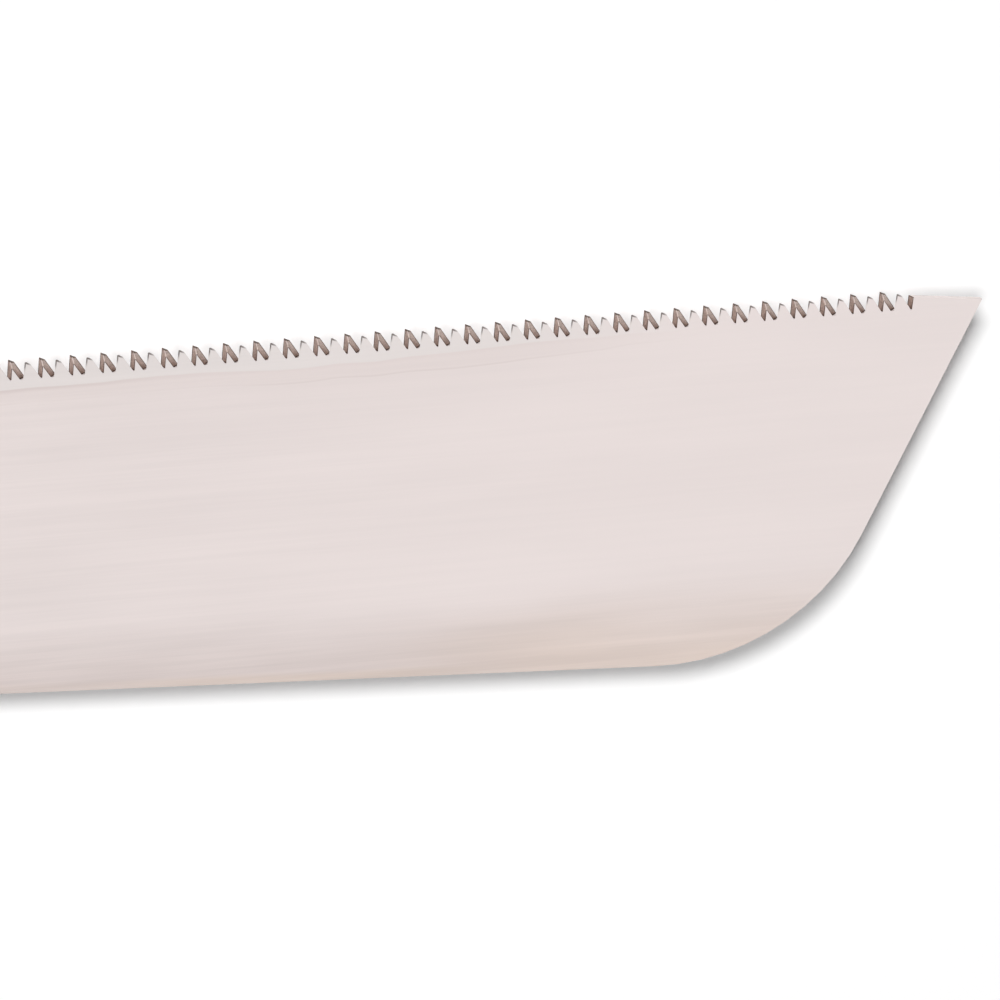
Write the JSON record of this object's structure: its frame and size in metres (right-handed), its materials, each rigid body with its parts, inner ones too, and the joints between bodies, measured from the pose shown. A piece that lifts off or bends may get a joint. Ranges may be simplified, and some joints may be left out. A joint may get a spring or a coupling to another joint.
{
  "type": "folding saw",
  "caption": "Folding pull saw with a tapered fine-toothed blade on a clamped pivot, a sprung rocker lock and a riveted wooden handle with a slot for the blade.",
  "frame": {"origin": "middle of the open saw's bounding box in plan, on the plane that the right scale lies on", "axes": "+X from the handle's butt to the blade's tip, +Y to the toothed side, +Z from the right side up to the left side"},
  "size_m": [0.5604, 0.053, 0.0207],
  "materials": {
    "blade_steel": "satin, brushed lengthwise",
    "handle_steel": "satin",
    "liner_steel": "rolled",
    "spring_steel": "blued",
    "brass": "satin",
    "bronze": "satin",
    "oiled_beech": "oiled"
  },
  "bodies": {
    "handle": {"left_liner": "liner_steel", "right_liner": "liner_steel", "left_bolster": "handle_steel", "right_bolster": "handle_steel", "spine_spacer": "liner_steel", "pivot_bolt": "handle_steel", "spring_washer": "handle_steel", "lever_pin": "handle_steel", "lever_spring": "spring_steel", "stop_pin": "handle_steel", "spine_rivet_front": "handle_steel", "spine_rivet_middle": "handle_steel", "spine_rivet_rear": "handle_steel", "pivot_nut": "brass", "pivot_bush": "bronze", "left_thrust_washer": "bronze", "right_thrust_washer": "bronze", "lanyard_tube": "brass", "left_scale_rivet_front": "brass", "left_scale_rivet_middle": "brass", "left_scale_rivet_rear": "brass", "right_scale_rivet_front": "brass", "right_scale_rivet_middle": "brass", "right_scale_rivet_rear": "brass", "left_scale": "oiled_beech", "right_scale": "oiled_beech"},
    "blade": {"blade": "blade_steel"},
    "lock_lever": {"lock_lever": "handle_steel"}
  },
  "joints": [
    {"name": "blade_fold", "type": "hinge", "parent": "handle", "child": "blade", "pos_m": [0.01293, 0.00378, 0.01035], "axis": [0, 0, 1], "range_deg": [0, 179]},
    {"name": "lock_lever_rock", "type": "hinge", "parent": "handle", "child": "lock_lever", "pos_m": [-0.01067, -0.01832, 0.01035], "axis": [0, 0, 1], "range_deg": [0, 9.95], "stiffness_Nm_per_rad": 0.25, "springref_deg": 17.19}
  ]
}
